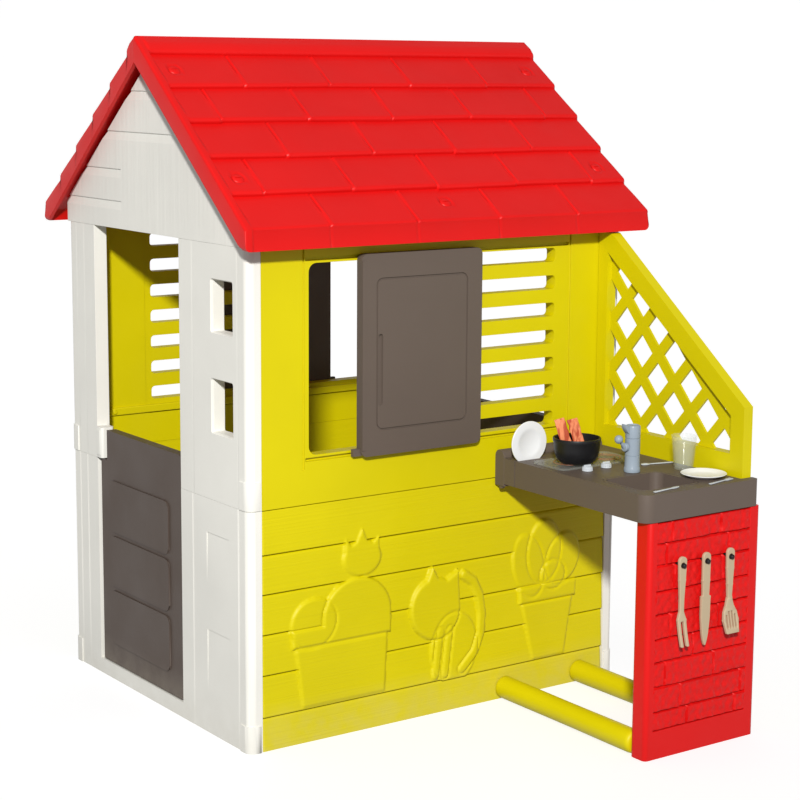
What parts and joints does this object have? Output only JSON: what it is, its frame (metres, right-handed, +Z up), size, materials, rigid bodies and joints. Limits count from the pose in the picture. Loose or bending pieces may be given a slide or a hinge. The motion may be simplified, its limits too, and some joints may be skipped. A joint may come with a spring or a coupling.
{
  "type": "plastic playhouse",
  "caption": "Plastic garden playhouse with a tiled pitched roof, half doors, sliding shutters, lattice side screen and an outdoor play kitchen with hanging utensils.",
  "frame": {"origin": "middle of the whole object's footprint on the ground, house and kitchen together", "axes": "+Z up; +X along the roof ridge, away from the gable with the first half door; -Y out of the window wall that the kitchen stands against"},
  "size_m": [0.912, 1.198, 1.27],
  "materials": {
    "red_plastic": "satin moulded",
    "white_plastic": "satin moulded",
    "lime_plastic": "satin moulded",
    "taupe_plastic": "satin, fine grain",
    "clear_plastic": "clear",
    "silver_plastic": "silver paint",
    "grey_plastic": "glossy",
    "beige_plastic": "satin",
    "black_plastic": "satin",
    "orange_plastic": "satin",
    "crockery_plastic": "glossy"
  },
  "bodies": {
    "house": {"door_gable_lower_frame": "white_plastic", "door_gable_upper_panel": "white_plastic", "door_gable_upper_jamb": "white_plastic", "door_gable_top": "white_plastic", "door_gable_hinge_bracket": "white_plastic", "front_wall_lower": "lime_plastic", "front_wall_upper": "lime_plastic", "front_roof_panel": "red_plastic", "front_roof_screw_1": "red_plastic", "front_roof_screw_2": "red_plastic", "front_roof_screw_3": "red_plastic", "front_roof_screw_4": "red_plastic", "front_roof_screw_5": "red_plastic", "rear_gable_lower_frame": "white_plastic", "rear_gable_upper_panel": "white_plastic", "rear_gable_upper_jamb": "white_plastic", "rear_gable_top": "white_plastic", "rear_gable_hinge_bracket": "white_plastic", "back_wall_lower": "lime_plastic", "back_wall_upper": "lime_plastic", "back_roof_panel": "red_plastic", "back_roof_screw_1": "red_plastic", "back_roof_screw_2": "red_plastic", "back_roof_screw_3": "red_plastic", "back_roof_screw_4": "red_plastic", "back_roof_screw_5": "red_plastic", "counter": "taupe_plastic", "counter_back_block": "taupe_plastic", "hob_plate": "clear_plastic", "brick_panel": "red_plastic", "trellis": "lime_plastic", "floor_tube_1": "lime_plastic", "floor_tube_2": "lime_plastic", "fork_peg": "black_plastic", "knife_peg": "black_plastic", "spatula_peg": "black_plastic", "pot": "black_plastic", "food_strip_1": "orange_plastic", "food_strip_2": "orange_plastic", "tumbler": "clear_plastic", "flat_plate": "crockery_plastic", "standing_plate": "crockery_plastic", "table_fork": "silver_plastic", "table_knife": "silver_plastic", "table_spoon": "silver_plastic"},
    "door_gable_half_door": {"door_gable_half_door": "taupe_plastic"},
    "rear_gable_half_door": {"rear_gable_half_door": "taupe_plastic"},
    "front_shutter": {"front_shutter": "taupe_plastic"},
    "back_shutter": {"back_shutter": "taupe_plastic"},
    "hob_knob_left": {"hob_knob_left": "silver_plastic"},
    "hob_knob_right": {"hob_knob_right": "silver_plastic"},
    "tap_post": {"tap_post": "grey_plastic"},
    "tap_lever": {"tap_lever": "grey_plastic"},
    "fork": {"fork": "beige_plastic"},
    "knife": {"knife": "beige_plastic"},
    "spatula": {"spatula": "beige_plastic"}
  },
  "joints": [
    {"name": "door_gable_half_door_hinge", "type": "hinge", "parent": "house", "child": "door_gable_half_door", "pos_m": [-0.414, 0.426, 0.24], "axis": [0, 0, 1], "range_deg": [-95, 0]},
    {"name": "rear_gable_half_door_hinge", "type": "hinge", "parent": "house", "child": "rear_gable_half_door", "pos_m": [0.414, -0.022, 0.24], "axis": [0, 0, 1], "range_deg": [-95, 0]},
    {"name": "front_shutter_slide", "type": "slide", "parent": "house", "child": "front_shutter", "axis": [1, 0, 0], "range_m": [-0.086, 0.221]},
    {"name": "back_shutter_slide", "type": "slide", "parent": "house", "child": "back_shutter", "axis": [-1, 0, 0], "range_m": [-0.086, 0.221]},
    {"name": "hob_knob_left_turn", "type": "hinge", "parent": "house", "child": "hob_knob_left", "pos_m": [0.176, -0.353, 0.49], "axis": [0, 0, 1], "range_deg": [-135, 135]},
    {"name": "hob_knob_right_turn", "type": "hinge", "parent": "house", "child": "hob_knob_right", "pos_m": [0.225, -0.349, 0.49], "axis": [0, 0, 1], "range_deg": [-135, 135]},
    {"name": "tap_swivel", "type": "hinge", "parent": "house", "child": "tap_post", "pos_m": [0.239, -0.405, 0.49], "axis": [0, 0, 1], "range_deg": [-60, 60]},
    {"name": "tap_lever_tilt", "type": "hinge", "parent": "tap_post", "child": "tap_lever", "pos_m": [0.22, -0.405, 0.533], "axis": [1, 0, 0], "range_deg": [-35, 35]},
    {"name": "fork_swing", "type": "hinge", "parent": "house", "child": "fork", "pos_m": [0.203, -0.584, 0.352], "axis": [0, 1, 0], "range_deg": [-10, 10]},
    {"name": "knife_swing", "type": "hinge", "parent": "house", "child": "knife", "pos_m": [0.261, -0.584, 0.352], "axis": [0, 1, 0], "range_deg": [-10, 10]},
    {"name": "spatula_swing", "type": "hinge", "parent": "house", "child": "spatula", "pos_m": [0.32, -0.584, 0.352], "axis": [0, 1, 0], "range_deg": [-10, 10]}
  ]
}
